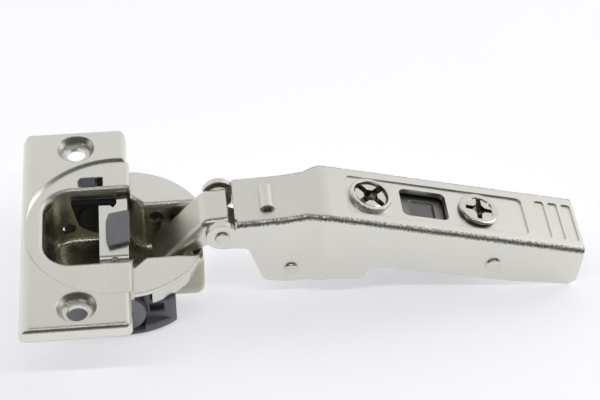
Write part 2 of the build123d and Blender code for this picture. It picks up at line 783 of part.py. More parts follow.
def make_arm():
    """Folded channel between the knuckle and the mounting side."""
    body = arm_details(arm_outside())
    inside = side_prism(arm_side(arm_sheet), -15, 15)
    inside = inside & plan_prism(arm_plan(arm_sheet), -60, 40)
    field = outline([
        (recess_start - 0.6, -recess_half - 0.6, 1.5), (recess_end + 0.6, -recess_half - 0.6, 1.5),
        (recess_end + 0.6, recess_half + 0.6, 1.5), (recess_start - 0.6, recess_half + 0.6, 1.5),
    ])
    kept = rear_prism(field, -arm_sheet - recess_depth, 0)
    kept = kept + rear_upright(side_screw_u, 0, collar_radius, -arm_sheet - recess_depth, 0)
    body = body - (inside - kept)
    bump_reach = bump_length / 2 + bump_mouth
    body = body - bar((bump_x, bump_z + 0.25), bump_hole_radius, -bump_reach, bump_reach)
    body = body + arm_ears()
    for side in (-1, 1):
        y = side * arm_front_half
        notch = bar((arm_front - 0.3, arm_front_height - 0.15), relief_radius, min(y * 0.74, y * 1.3),
                    max(y * 0.74, y * 1.3))
        body = body - notch
    body = body - rear_upright(side_screw_u, 0, collar_bore, -6, 3)
    body = body - rear_upright(cam_u, 0, cam_bore, -6, 3)
    window = outline([
        (window_start, -window_half, 1.3), (window_end, -window_half, 1.3),
        (window_end, window_half, 1.3), (window_start, window_half, 1.3),
    ])
    body = body - rear_prism(window, -6, 3)
    for i in range(groove_count):
        u = groove_start + groove_pitch * i
        groove = outline([
            (u - groove_width / 2, -groove_half, 0.5), (u + groove_width / 2, -groove_half, 0.5),
            (u + groove_width / 2, groove_half, 0.5), (u - groove_width / 2, groove_half, 0.5),
        ])
        body = body - rear_prism(groove, -groove_depth, 1)
    body = body - bar(knuckle, pin_radius, -20, 20)
    body = body - bar(link_pivot, pin_radius, -20, 20)
    return body - bar(latch_pivot, latch_pin_radius, -20, 20)


def rear_point(point):
    """Distance along the rear top, and height over it, of a point in X and Z."""
    dx = point[0] - crest[0]
    dz = point[1] - crest[1]
    return (dx * cos(slope) - dz * sin(slope), dx * sin(slope) + dz * cos(slope))


def long_slot(u, half_width, travel, low, high):
    """Slot along the arm for a round piece that the channel slides past."""
    face = Pos(u, 0) * SlotOverall(2 * (half_width + travel), 2 * half_width)
    return rear_prism(face, low, high)


def make_channel():
    """Inner channel that the mounting plate holds."""
    half = arm_rear_half - arm_sheet - channel_gap
    low = channel_top - channel_depth
    body = rear_span(channel_start, channel_end, -half, half, low, channel_top)
    body = body - rear_span(
        channel_start - 1, channel_end + 1, -half + channel_sheet, half - channel_sheet,
        low - 1, channel_top - channel_sheet)
    body = body - side_prism(outline(channel_underside), -20, 20)
    body = body - long_slot(side_screw_u, side_screw_shank + slot_gap, channel_travel, -5, 1)
    slot = Pos(cam_u, 0) * Rot(0, 0, 90) * SlotOverall(
        2 * (cam_pin_offset + cam_pin_radius + slot_gap), 2 * (cam_pin_radius + slot_gap))
    body = body - rear_prism(slot, -5, 1)
    view_left = window_start + view_margin + view_shift
    view_right = window_end - view_margin + view_shift
    view_half = window_half - view_side_margin
    view = outline([
        (view_left, -view_half, 1.0), (view_right, -view_half, 1.0),
        (view_right, view_half, 1.0), (view_left, view_half, 1.0),
    ])
    body = body - rear_prism(view, -5, 1)
    u, v = rear_point(latch_pivot)
    reach = latch_pin_radius + channel_travel + slot_gap
    return body - rear_span(u - reach, u + reach, -20, 20, v - latch_pin_radius - slot_gap,
                            v + latch_pin_radius + slot_gap)


def cross_tool(u, top, turn):
    """Cross recess of a screw head."""
    slot = Box(cross_length, cross_width, cross_depth + 1)
    first = rear_plane * Pos(u, 0, top + (1 - cross_depth) / 2) * Rot(0, 0, turn) * slot
    second = rear_plane * Pos(u, 0, top + (1 - cross_depth) / 2) * Rot(0, 0, turn + 90) * slot
    return first + second


def make_side_screw():
    """Side adjusting screw, sunk in the collar."""
    top = -side_screw_depth
    body = rear_upright(side_screw_u, 0, side_screw_radius, top - 1.1, top)
    body = body + rear_upright(side_screw_u, 0, side_screw_shank, top - side_screw_length, top - 1.0)
    return body - cross_tool(side_screw_u, top, 45)


def make_depth_cam():
    """Cam disc with a boss through the arm and an offset pin in the channel's slot."""
    seat = -recess_depth + 0.03
    top = seat + cam_disc_height
    body = rear_upright(cam_u, 0, cam_disc_radius, seat, top)
    body = fillet(body.edges().filter_by(GeomType.CIRCLE).sort_by(Axis.Z)[-1:], 0.3)
    body = body + rear_upright(cam_u, 0, cam_boss_radius, -arm_sheet - recess_depth - 0.1, seat + 0.2)
    body = body + rear_upright(
        cam_u, cam_pin_offset, cam_pin_radius, channel_top - cam_pin_length,
        -arm_sheet - recess_depth)
    return body - cross_tool(cam_u, top, 0)


def make_latch_lever():
    """Release lever: two cheeks on the latch pin and a finger plate to the rear."""
    u, v = rear_point(latch_pivot)
    low = v - latch_drop
    plate = rear_span(u + 3.0, u + latch_length, -latch_half, latch_half, low, low + latch_sheet)
    cheek_face = outline([
        (u - 2.4, v + 2.4, 1.2), (u + 2.4, v + 2.4, 1.2), (u + 6.5, low + latch_sheet + 0.3, 1.0),
        (u + 6.5, low), (u - 2.4, low, 1.2),
    ])
    lever = plate
    cheek = Plane(
        origin=(crest[0], latch_half, crest[1]), x_dir=rear_plane.x_dir, z_dir=(0, -1, 0)) * cheek_face
    cheek = extrude(cheek, amount=latch_sheet)
    lever = lever + cheek + mirror(cheek, Plane.XZ)
    return lever - bar(latch_pivot, latch_pin_radius + pin_run, -20, 20)


def make_latch_spring():
    """Small leg spring round the latch pin."""
    body = bar(latch_pivot, latch_spring_radius, -latch_spring_half, latch_spring_half)
    return body - bar(latch_pivot, latch_pin_radius + 0.12, -5, 5)


def save(name, shape):
    """Write one piece as its own node file."""
    shape.label = name
    export_step(shape, "parts/" + name + ".step")


def main():
    """Build every piece."""
    os.makedirs("parts", exist_ok=True)
    save("cup", make_cup())
    save("flange_plate", make_flange())
    save("damper_housing_near", make_housing(-1))
    save("damper_housing_far", make_housing(1))
    save("damper_disc_near", make_disc(-1))
    save("damper_disc_far", make_disc(1))
    save("damper_switch", make_switch())
    save("damper_lever", make_damper_lever())
    save("outer_axle_near", make_outer_stub(-1))
    save("outer_axle_far", make_outer_stub(1))
    save("inner_axle", make_inner_axle())
    save("lever_axle_near", make_lever_stub(-1))
    save("lever_axle_far", make_lever_stub(1))
    save("closing_lever", make_closing_lever())
    save("lever_pad", make_pad())
    save("closing_spring", make_closing_spring())
    save("outer_link", make_outer_link())
    for i in range(plate_count):
        save("inner_link_plate_" + str(i + 1), make_inner_plate(i))
    save("knuckle_pin", headed_pin(knuckle, pin_radius, head_radius, arm_front_half))
    save("link_pin", headed_pin(link_pivot, pin_radius, head_radius, arm_front_half))
    save("arm", make_arm())
    save("mounting_channel", make_channel())
    save("side_screw", make_side_screw())
    save("depth_cam", make_depth_cam())
    save("latch_pin", headed_pin(latch_pivot, latch_pin_radius, latch_pin_radius + 0.2, arm_rear_half))
    save("latch_lever", make_latch_lever())
    save("latch_spring", make_latch_spring())


main()
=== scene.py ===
import json
from math import atan2, cos, pi, radians, sin

import bmesh
import bpy
from mathutils import Matrix, Vector

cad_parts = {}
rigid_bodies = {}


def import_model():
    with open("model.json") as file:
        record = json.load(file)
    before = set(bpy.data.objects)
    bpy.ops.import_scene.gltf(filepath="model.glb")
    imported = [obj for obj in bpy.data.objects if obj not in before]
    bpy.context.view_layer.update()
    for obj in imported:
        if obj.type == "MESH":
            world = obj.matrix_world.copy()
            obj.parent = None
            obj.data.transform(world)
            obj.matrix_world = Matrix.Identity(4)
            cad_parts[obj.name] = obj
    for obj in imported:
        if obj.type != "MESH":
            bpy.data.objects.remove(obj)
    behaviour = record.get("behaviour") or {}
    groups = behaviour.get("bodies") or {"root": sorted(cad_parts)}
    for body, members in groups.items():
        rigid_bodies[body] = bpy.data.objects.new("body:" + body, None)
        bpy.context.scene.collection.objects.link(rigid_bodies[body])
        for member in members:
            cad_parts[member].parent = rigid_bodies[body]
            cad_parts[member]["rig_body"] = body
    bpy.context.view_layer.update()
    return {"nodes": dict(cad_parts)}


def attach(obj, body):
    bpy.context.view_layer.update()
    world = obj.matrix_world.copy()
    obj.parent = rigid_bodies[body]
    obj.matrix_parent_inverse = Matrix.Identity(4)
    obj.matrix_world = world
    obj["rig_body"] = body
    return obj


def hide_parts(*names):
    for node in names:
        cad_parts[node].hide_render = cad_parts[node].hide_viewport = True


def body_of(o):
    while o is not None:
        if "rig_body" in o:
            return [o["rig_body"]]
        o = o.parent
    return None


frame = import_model()

bl_info = {
    "name": "Concealed hinge finish",
    "version": (1, 0, 0),
    "blender": (4, 5, 0),
    "location": "View3D > Sidebar > Hinge",
    "description": "Finishes a concealed cup hinge: metals, plastics, screws, floor, light and camera",
    "category": "Object",
}

MILLIMETRE = 0.001

# The places and sizes in this first section are in millimetres, and its angles in radians.

# Arm: the X and Z of its crest and of its rear end's top, and how far down the slope the screws are
CREST = (42.5, 8.46)
REAR_TOP = (96.6, -6.57)
SLOPE = atan2(CREST[1] - REAR_TOP[1], REAR_TOP[0] - CREST[0])
SIDE_SCREW_ALONG = 9.1
DEPTH_CAM_ALONG = 33.2

# Drawn well: where the painted shade inside it fades in or out, from and to
WELL_MOUTH = (-4.0, -1.2)
WELL_SIDE = (10.4, 10.8)
WELL_END = (-16.8, -16.4)
WELL_UNDERSIDE = (-12.6, -12.3)
WELL_FLOOR = (-11.2, -9.2)

# Shade on the rim beside the damper switch: its middle, and where it fades out
SHADE_MIDDLE = (-4.9, 13.6)
SHADE_LENGTH = (1.3, 1.6)
SHADE_WIDTH = (2.1, 2.4)
SHADE_UNDERSIDE = (-1.2, -0.6)

# Patterns: how far across a cloud, a mottle, a scratch or a grain is
NICKEL_CLOUD = 9.0
NICKEL_MOTTLE = 0.42
STEEL_CLOUD = 2.5
STEEL_SCRATCH = 0.35
PLASTIC_CLOUD = 3.0
PLASTIC_GRAIN = 0.16

# Rounded copies: points and faces that count as one, edges that count as sharp, the channel's lead-in
SAME_POINT = 0.002
FLAT_ANGLE = radians(0.5)
SHARP_ANGLE = radians(50)
LEAD_IN_LENGTH = 3.2
LEAD_IN_SIDE = 5.4
LEAD_IN_SHARE = 0.95

# Screws: sides of a turned piece, and the gap that counts as closed on its axis
TURNED_SIDES = 72
AXIS_GAP = 1e-5

# Floor: the X and Z of two points on it, under the cup and under the arm's rear end, and its clouds
FLOOR_FRONT = (-15.0, -12.82)
FLOOR_REAR = (94.0, -16.58)
FLOOR_CLOUD = 40.0
FLOOR_GLOW = 0.53

# Camera: its place and its turns
CAMERA_PLACE = (9.99, -230.31, 240.42)
CAMERA_AZIMUTH = 0.11506
CAMERA_ELEVATION = 0.79089
CAMERA_ROLL = 0.018653


# Sizes and colours that a user may change

class HingeSizes(bpy.types.PropertyGroup):
    """Sizes of the pieces and of the finish's grain."""
    edge_softness: bpy.props.FloatProperty(
        name="Edge softness", description="Radius by which a sheet's cut edge looks rounded",
        default=0.12 * MILLIMETRE, unit="LENGTH", precision=5)
    grain: bpy.props.FloatProperty(
        name="Grain", description="Size of the plating's fine grain",
        default=0.22 * MILLIMETRE, unit="LENGTH", precision=5)
    screw_radius: bpy.props.FloatProperty(
        name="Side screw radius", description="Radius of the side adjusting screw's head",
        default=3.65 * MILLIMETRE, unit="LENGTH", precision=5)
    screw_slot: bpy.props.FloatProperty(
        name="Side screw slot", description="Width of the slots across the side adjusting screw",
        default=1.4 * MILLIMETRE, unit="LENGTH", precision=5)
    cam_slot: bpy.props.FloatProperty(
        name="Cam slot", description="Width of the depth cam's cross recess near its middle",
        default=1.4 * MILLIMETRE, unit="LENGTH", precision=5)
    housing_rounding: bpy.props.FloatProperty(
        name="Housing rounding", description="Radius of the damper housings' moulded edges",
        default=0.35 * MILLIMETRE, unit="LENGTH", precision=5)
    pad_rounding: bpy.props.FloatProperty(
        name="Pad rounding", description="Radius of the pad's and the damper lever's moulded edges",
        default=0.22 * MILLIMETRE, unit="LENGTH", precision=5)
    sheet_rounding: bpy.props.FloatProperty(
        name="Sheet rounding", description="Radius of the mounting channel's deburred edges",
        default=0.15 * MILLIMETRE, unit="LENGTH", precision=5)
    floor_width: bpy.props.FloatProperty(
        name="Floor width", description="Side of the square floor", default=3.0, unit="LENGTH")
    lens: bpy.props.FloatProperty(
        name="Lens", description="Focal length of the camera in millimetres", default=96.04,
        unit="CAMERA")


class HingeColours(bpy.types.PropertyGroup):
    """Colours of the finishes."""
    nickel: bpy.props.FloatVectorProperty(
        name="Nickel", description="Satin nickel plating", subtype="COLOR", size=3,
        default=(0.78, 0.765, 0.69), min=0, max=1)
    bright: bpy.props.FloatVectorProperty(
        name="Bright nickel", description="Bright plating on pins and screws", subtype="COLOR", size=3,
        default=(0.78, 0.76, 0.70), min=0, max=1)
    # Painted dark reflection, mottled, on the nickel's bends
    bend_dark_reflection: bpy.props.FloatVectorProperty(
        name="Bend dark reflection", description="Painted dark reflection, mottled, along the bends", subtype="COLOR", size=3,
        default=(0.22, 0.21, 0.17), min=0, max=1)
    # Painted shade inside the well, warm-tinted
    well: bpy.props.FloatVectorProperty(
        name="Well", description="Painted shade, warm-tinted, inside the well", subtype="COLOR", size=3,
        default=(0.34, 0.31, 0.20), min=0, max=1)
    # Painted shade in the screws' slots, dark brown
    recess: bpy.props.FloatVectorProperty(
        name="Recess", description="Painted shade, dark brown, in the screws' slots", subtype="COLOR", size=3,
        default=(0.13, 0.11, 0.07), min=0, max=1)
    grey: bpy.props.FloatVectorProperty(
        name="Grey plastic", description="Damper housings and switch", subtype="COLOR", size=3,
        default=(0.15, 0.15, 0.168), min=0, max=1)
    light_grey: bpy.props.FloatVectorProperty(
        name="Light grey plastic", description="Damper discs and the lever's pad", subtype="COLOR",
        size=3,
        default=(0.225, 0.225, 0.25), min=0, max=1)
    black: bpy.props.FloatVectorProperty(
        name="Black plastic", description="Damper lever, and the shade beside the switch",
        subtype="COLOR", size=3,
        default=(0.012, 0.012, 0.014), min=0, max=1)
    floor: bpy.props.FloatVectorProperty(
        name="Floor", description="Pale floor", subtype="COLOR", size=3,
        default=(0.90, 0.90, 0.94), min=0, max=1)


# Shader maths

class Term:
    """A shader value that arithmetic can be done on."""

    def __init__(self, finish, socket):
        self.finish = finish
        self.socket = socket

    def __add__(self, other):
        return self.finish.maths("ADD", self, other)

    def __radd__(self, other):
        return self.finish.maths("ADD", other, self)

    def __sub__(self, other):
        return self.finish.maths("SUBTRACT", self, other)

    def __rsub__(self, other):
        return self.finish.maths("SUBTRACT", other, self)

    def __mul__(self, other):
        return self.finish.maths("MULTIPLY", self, other)

    def __rmul__(self, other):
        return self.finish.maths("MULTIPLY", other, self)


class Finish:
    """A material, and the nodes that make it."""

    def __init__(self, name):
        self.material = bpy.data.materials.new(name)
        self.material.use_nodes = True
        self.tree = self.material.node_tree
        self.tree.nodes.clear()
        self.shader = self.tree.nodes.new("ShaderNodeBsdfPrincipled")
        output = self.tree.nodes.new("ShaderNodeOutputMaterial")
        self.tree.links.new(self.shader.outputs[0], output.inputs["Surface"])
        place = self.tree.nodes.new("ShaderNodeTexCoord")
        self.place = place.outputs["Object"]
        self.facing = place.outputs["Normal"]

    def feed(self, socket, value):
        """Link or set one input."""
        if isinstance(value, Term):
            self.tree.links.new(value.socket, socket)
        elif isinstance(value, bpy.types.NodeSocket):
            self.tree.links.new(value, socket)
        else:
            socket.default_value = value

    def node(self, kind, settings, inputs, output=0):
        """Any node: its settings first, then its inputs."""
        made = self.tree.nodes.new(kind)
        for key, value in settings.items():
            setattr(made, key, value)
        for key, value in inputs.items():
            self.feed(made.inputs[key], value)
        return Term(self, made.outputs[output])

    def maths(self, operation, first, second=0.0):
        """One Math node."""
        return self.node("ShaderNodeMath", {"operation": operation}, {0: first, 1: second})

    def size_of(self, value):
        """A value without its sign."""
        return self.maths("ABSOLUTE", value)

    def step(self, value, low, high):
        """Smooth step from 0 at low to 1 at high."""
        return self.node(
            "ShaderNodeMapRange", {"interpolation_type": "SMOOTHSTEP"},
            {"Value": value, "From Min": low, "From Max": high, "To Min": 0.0, "To Max": 1.0})

    def rise(self, value, places):
        """Smooth step from 0 at the first place to 1 at the second, both in millimetres."""
        low, high = places
        return self.step(value, low * MILLIMETRE, high * MILLIMETRE)

    def noise(self, size, detail=2.0, stretch=(1, 1, 1), roughness=0.5):
        """Noise whose blobs are about one size across, stretched along an axis."""
        scale = tuple(1 / (size * s) for s in stretch)
        placed = self.node("ShaderNodeVectorMath", {"operation": "MULTIPLY"}, {0: self.place, 1: scale})
        return self.node(
            "ShaderNodeTexNoise", {},
            {"Vector": placed, "Scale": 1.0, "Detail": detail, "Roughness": roughness})

    def part_of(self, vector, axis):
        """One component of a vector."""
        return self.node("ShaderNodeSeparateXYZ", {}, {0: vector}, output=axis)

    def blend_colour(self, factor, first, second):
        """Mix of two colours, whose sockets are the seventh and eighth in and the third out."""
        return self.node(
            "ShaderNodeMix", {"data_type": "RGBA"}, {"Factor": factor, 6: first, 7: second}, output=2)

    def surface(self, **values):
        """Set the shader's inputs by name."""
        for key, value in values.items():
            self.feed(self.shader.inputs[key.replace("_", " ")], value)

    def relief(self, height, strength, distance, softness):
        """Bump over softly rounded edges."""
        edge = self.node("ShaderNodeBevel", {"samples": 4}, {"Radius": softness})
        bump = self.node(
            "ShaderNodeBump", {},
            {"Height": height, "Strength": strength, "Distance": distance, "Normal": edge})
        self.surface(Normal=bump)


def solid_colour(colour, shade=1.0):
    """Colour with alpha, made lighter or darker."""
    return tuple(min(c * shade, 1.0) for c in colour) + (1.0,)


def make_nickel(sizes, colours, name, roughness, softness=2.0, mottling=1.0, well=False):
    """Nickel plating with fine grain and faint clouds, and a mottled painted dark reflection where it
    bends from a top to a side.
    """
    finish = Finish(name)
    clouds = finish.noise(NICKEL_CLOUD * MILLIMETRE, detail=3.0)
    grain = finish.noise(sizes.grain, detail=2.0)
    mottle = finish.noise(NICKEL_MOTTLE * MILLIMETRE, detail=3.0, roughness=0.6)
    sideways = finish.size_of(finish.part_of(finish.facing, 1))
    upward = finish.size_of(finish.part_of(finish.facing, 2))
    # Painted dark reflection, mottled, where the surface faces both sideways and upward: on its bends
    bend = finish.step(sideways, 0.08, 0.3) * finish.step(upward, 0.12, 0.3) * mottling
    bend_dark_reflection = bend * finish.step(mottle, 0.42, 0.6)
    colour = finish.blend_colour(
        clouds * 0.5, solid_colour(colours.nickel), solid_colour(colours.nickel, 0.93))
    colour = finish.blend_colour(bend_dark_reflection * 0.8, colour, solid_colour(colours.bend_dark_reflection))
    if well:
        # Painted shade inside the well, warm-tinted, less of it on the floor than on the walls, and
        # painted shade in black on the rim beside the damper switch
        over_floor = finish.rise(finish.part_of(finish.place, 2), WELL_FLOOR)
        darkened = inside_well(finish) * (0.5 + over_floor * 0.25)
        colour = finish.blend_colour(darkened, colour, solid_colour(colours.well))
        colour = finish.blend_colour(under_switch_slot(finish), colour, solid_colour(colours.black))
    finish.surface(
        Base_Color=colour, Metallic=1.0,
        Roughness=roughness + clouds * 0.08 + grain * 0.05 + bend_dark_reflection * 0.05)
    finish.relief(
        grain * 0.15 + bend * mottle, 1.0, 0.09 * MILLIMETRE, sizes.edge_softness * softness)
    return finish.material


def inside_well(finish):
    """Where a point lies inside the drawn well."""
    along = finish.part_of(finish.place, 0)
    across = finish.size_of(finish.part_of(finish.place, 1))
    height = finish.part_of(finish.place, 2)
    below_mouth = 1 - finish.rise(height, WELL_MOUTH)
    between_sides = 1 - finish.rise(across, WELL_SIDE)
    before_end = finish.rise(along, WELL_END)
    return below_mouth * between_sides * before_end * finish.rise(height, WELL_UNDERSIDE)


def under_switch_slot(finish):
    """Where the rim shows, in deep shade, beside the damper switch."""
    along = finish.size_of(finish.part_of(finish.place, 0) - SHADE_MIDDLE[0] * MILLIMETRE)
    across = finish.size_of(finish.part_of(finish.place, 1) - SHADE_MIDDLE[1] * MILLIMETRE)
    high = finish.rise(finish.part_of(finish.place, 2), SHADE_UNDERSIDE)
    return high * (1 - finish.rise(along, SHADE_LENGTH)) * (1 - finish.rise(across, SHADE_WIDTH))


def make_bright(sizes, colours, name, roughness, shade=1.0):
    """Bright steel with faint clouds and fine scratches, also used duller and darker."""
    finish = Finish(name)
    clouds = finish.noise(STEEL_CLOUD * MILLIMETRE, detail=3.0)
    scratches = finish.noise(STEEL_SCRATCH * MILLIMETRE, detail=2.0, stretch=(1, 6, 1))
    colour = finish.blend_colour(
        clouds, solid_colour(colours.bright, shade), solid_colour(colours.bright, shade * 0.85))
    finish.surface(Base_Color=colour, Metallic=1.0, Roughness=roughness + clouds * 0.1 + scratches * 0.05)
    finish.relief(scratches, 0.12, 0.015 * MILLIMETRE, sizes.edge_softness)
    return finish.material


def make_screw_steel(sizes, colours, name, recess_top):
    """Bright plating with dark brown painted shade in its recesses, up to a height over the arm's rear
    top.
    """
    finish = Finish(name)
    clouds = finish.noise(STEEL_CLOUD * MILLIMETRE, detail=3.0)
    along = finish.part_of(finish.place, 0) * sin(SLOPE)
    over = finish.part_of(finish.place, 2) * cos(SLOPE)
    crest = (CREST[0] * sin(SLOPE) + CREST[1] * cos(SLOPE)) * MILLIMETRE
    raised = finish.rise(along + over - crest, recess_top)
    colour = finish.blend_colour(clouds, solid_colour(colours.bright), solid_colour(colours.bright, 0.85))
    # Painted shade, dark brown, in the slots below the given height
    colour = finish.blend_colour(raised, solid_colour(colours.recess), colour)
    finish.surface(Base_Color=colour, Metallic=1.0, Roughness=0.16 + clouds * 0.1)
    finish.relief(clouds, 0.1, 0.02 * MILLIMETRE, sizes.edge_softness)
    return finish.material


def make_plastic(sizes, name, colour, roughness=0.42):
    """Moulded plastic with faint clouds and a fine grain."""
    finish = Finish(name)
    clouds = finish.noise(PLASTIC_CLOUD * MILLIMETRE, detail=2.0)
    grain = finish.noise(PLASTIC_GRAIN * MILLIMETRE, detail=2.0)
    tone = finish.blend_colour(clouds, solid_colour(colour, 1.15), solid_colour(colour, 0.8))
    finish.surface(Base_Color=tone, Metallic=0.0, Roughness=roughness + grain * 0.12)
    finish.relief(grain, 0.35, 0.02 * MILLIMETRE, sizes.edge_softness)
    return finish.material


def paint(material, *nodes):
    """Give CAD nodes their finish."""
    for node in nodes:
        target = frame["nodes"][node]
        target.data.materials.clear()
        target.data.materials.append(material)


# Operators

class HingeMetals(bpy.types.Operator):
    """Plate the steel pieces"""
    bl_idname = "hinge.metals"
    bl_label = "Metals"

    def execute(self, context):
        sizes = context.scene.hinge_sizes
        colours = context.scene.hinge_colours
        satin = make_nickel(sizes, colours, "satin nickel", 0.26)
        drawn = make_nickel(sizes, colours, "drawn nickel", 0.2, softness=3.0, mottling=0.0, well=True)
        pressed = make_nickel(sizes, colours, "pressed nickel", 0.22, softness=3.5, mottling=0.3)
        linkage = make_nickel(sizes, colours, "link nickel", 0.25, mottling=0.0)
        bright = make_bright(sizes, colours, "bright nickel", 0.14)
        wire = make_bright(sizes, colours, "spring wire", 0.3)
        darkened = make_bright(sizes, colours, "dull channel", 0.32, shade=0.35)
        paint(satin, "arm", "latch_lever")
        paint(drawn, "cup")
        paint(pressed, "flange_plate")
        paint(linkage, "outer_link", "closing_lever")
        paint(bright, "outer_axle_near", "outer_axle_far", "inner_axle", "lever_axle_near",
              "lever_axle_far", "inner_link_plate_1", "inner_link_plate_2", "inner_link_plate_3",
              "knuckle_pin", "link_pin", "latch_pin", "side_screw", "depth_cam")
        paint(wire, "closing_spring", "latch_spring")
        paint(darkened, "mounting_channel")
        return {"FINISHED"}


class HingePlastics(bpy.types.Operator):
    """Colour the dampers, the switch, the pad and the damper lever"""
    bl_idname = "hinge.plastics"
    bl_label = "Plastics"

    def execute(self, context):
        sizes = context.scene.hinge_sizes
        colours = context.scene.hinge_colours
        grey = make_plastic(sizes, "grey plastic", colours.grey)
        light = make_plastic(sizes, "light grey plastic", colours.light_grey)
        black = make_plastic(sizes, "black plastic", colours.black, 0.3)
        paint(grey, "damper_housing_near", "damper_housing_far", "damper_switch")
        paint(light, "damper_disc_near", "damper_disc_far", "lever_pad")
        paint(black, "damper_lever")
        return {"FINISHED"}


class HingeMouldedEdges(bpy.types.Operator):
    """Round the edges of the mouldings and deburr the channel's sheet"""
    bl_idname = "hinge.moulded_edges"
    bl_label = "Moulded edges"

    def execute(self, context):
        sizes = context.scene.hinge_sizes
        for node in ("damper_housing_near", "damper_housing_far"):
            soften(node, sizes.housing_rounding)
        for node in ("lever_pad", "damper_lever"):
            soften(node, sizes.pad_rounding)
        soften("mounting_channel", sizes.sheet_rounding, lead_in=True)
        return {"FINISHED"}


def soften(node, radius, lead_in=False):
    """Copy of a node with rounded sharp edges, which stands for it; a lead-in narrows its front end."""
    target = frame["nodes"][node]
    builder = bmesh.new()
    builder.from_mesh(target.data)
    bmesh.ops.remove_doubles(builder, verts=builder.verts[:], dist=SAME_POINT * MILLIMETRE)
    bmesh.ops.dissolve_limit(
        builder, angle_limit=FLAT_ANGLE, verts=builder.verts[:], edges=builder.edges[:])
    sharp = [
        edge for edge in builder.edges
        if len(edge.link_faces) == 2 and edge.calc_face_angle() > SHARP_ANGLE]
    bmesh.ops.bevel(
        builder, geom=sharp, offset=radius, affect="EDGES", segments=2, profile=0.5, material=-1,
        clamp_overlap=False)
    bmesh.ops.triangulate(builder, faces=[face for face in builder.faces if len(face.verts) > 4])
    if lead_in:
        narrow_front(builder)
    mesh = bpy.data.meshes.new(node + "_softened")
    builder.to_mesh(mesh)
    builder.free()
    for material in target.data.materials:
        mesh.materials.append(material)
    piece = bpy.data.objects.new(node + "_softened", mesh)
    bpy.context.scene.collection.objects.link(piece)
    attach(piece, body_of(target)[0])
    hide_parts(node)


def narrow_front(builder):
    """Draw in the walls at the channel's front end, so that it clears the inside of the arm's step."""
    for vertex in builder.verts:
        behind = vertex.co.x / MILLIMETRE - CREST[0]
        over = vertex.co.z / MILLIMETRE - CREST[1]
        along = behind * cos(SLOPE) - over * sin(SLOPE)
        if along < LEAD_IN_LENGTH and abs(vertex.co.y) > LEAD_IN_SIDE * MILLIMETRE:
            vertex.co.y *= LEAD_IN_SHARE


class HingeSideScrew(bpy.types.Operator):
    """Turn the side adjusting screw and slot its head"""
    bl_idname = "hinge.side_screw"
    bl_label = "Side screw"

    def execute(self, context):
        sizes = context.scene.hinge_sizes
        radius = sizes.screw_radius / MILLIMETRE
        half_slot = sizes.screw_slot / MILLIMETRE / 2
        crest = 2.6
        root = 2.25
        pitch = 0.75
        piece = bmesh.new()
        petals(piece, radius, half_slot, half_slot, corner=1.05, low=-1.3, high=0.1, chamfer=0.55)
        head = [
            (0, -2.7), (1.0, -1.25), (radius - 0.3, -1.2), (radius, -1.35), (radius, -1.6), (crest, -1.6)]
        thread = []
        for turn in range(5):
            top = -1.9 - turn * pitch
            thread += [(crest, top), (crest, top - 0.2), (root, top - 0.35), (root, top - 0.5)]
        turned(piece, head + thread + [(2.2, -5.75), (0, -5.8)])
        steel = make_screw_steel(sizes, context.scene.hinge_colours, "screw steel", (-0.9, -0.3))
        place_screw(piece, "side_screw_turned", SIDE_SCREW_ALONG, radians(45), steel, "side_screw")
        return {"FINISHED"}


class HingeDepthCam(bpy.types.Operator):
    """Turn the depth cam, sink its cross recess and add its pin"""
    bl_idname = "hinge.depth_cam"
    bl_label = "Depth cam"

    def execute(self, context):
        sizes = context.scene.hinge_sizes
        half_slot = sizes.cam_slot / MILLIMETRE / 2
        head = 4.35
        neck = 3.46
        pin_radius = 1.5
        pin_place = (0, 1.9, -3.2)
        piece = bmesh.new()
        petals(piece, 2.9, half_slot, half_slot * 0.72, corner=0.95, low=-0.9, high=0.36, chamfer=0.0)
        turned(piece, [
            (0, -1.1), (0.85, -0.8), (2.7, -0.05), (2.84, 0.0), (2.9, 0.34), (3.12, 0.6), (4.0, 0.6),
            (4.22, 0.53), (head, 0.35), (head, -0.42), (neck, -0.42), (neck, -1.8), (0, -1.8)])
        pin = bmesh.ops.create_cone(
            piece, cap_ends=True, segments=40, radius1=pin_radius, radius2=pin_radius, depth=3.0)
        bmesh.ops.translate(piece, verts=pin["verts"], vec=pin_place)
        steel = make_screw_steel(sizes, context.scene.hinge_colours, "cam steel", (-0.1, 0.3))
        place_screw(piece, "depth_cam_turned", DEPTH_CAM_ALONG, radians(-6), steel, "depth_cam")
        return {"FINISHED"}


def petals(builder, radius, gap, rim_gap, corner, low, high, chamfer):
    """Four petals that the slots of a cross leave of a round head, from a low to a high level."""
    bmesh.ops.create_circle(builder, cap_ends=True, segments=TURNED_SIDES, radius=radius)
    lean = (gap - rim_gap) / radius
    for point, normal in (
            ((gap, 0, 0), (1, lean, 0)), ((0, gap, 0), (lean, 1, 0)), ((corner, corner, 0), (1, 1, 0))):
        everything = builder.verts[:] + builder.edges[:] + builder.faces[:]
        bmesh.ops.bisect_plane(builder, geom=everything, plane_co=point, plane_no=normal, clear_inner=True)
    bmesh.ops.translate(builder, verts=builder.verts[:], vec=(0, 0, low))
    raised = bmesh.ops.extrude_face_region(builder, geom=builder.faces[:])["geom"]
    top = [item for item in raised if isinstance(item, bmesh.types.BMVert)]
    bmesh.ops.translate(builder, verts=top, vec=(0, 0, high - low))
    if chamfer:
        outer = [
            edge for edge in builder.edges
            if all(v.co.z > high - 0.01 and v.co.xy.length > radius - 0.02 for v in edge.verts)]
        bmesh.ops.bevel(
            builder, geom=outer, offset=chamfer, affect="EDGES", segments=2, profile=0.5, material=-1)
    everything = builder.verts[:] + builder.edges[:] + builder.faces[:]
    bmesh.ops.spin(
        builder, geom=everything, cent=(0, 0, 0), axis=(0, 0, 1), dvec=(0, 0, 0), angle=radians(270),
        steps=3, use_duplicate=True)


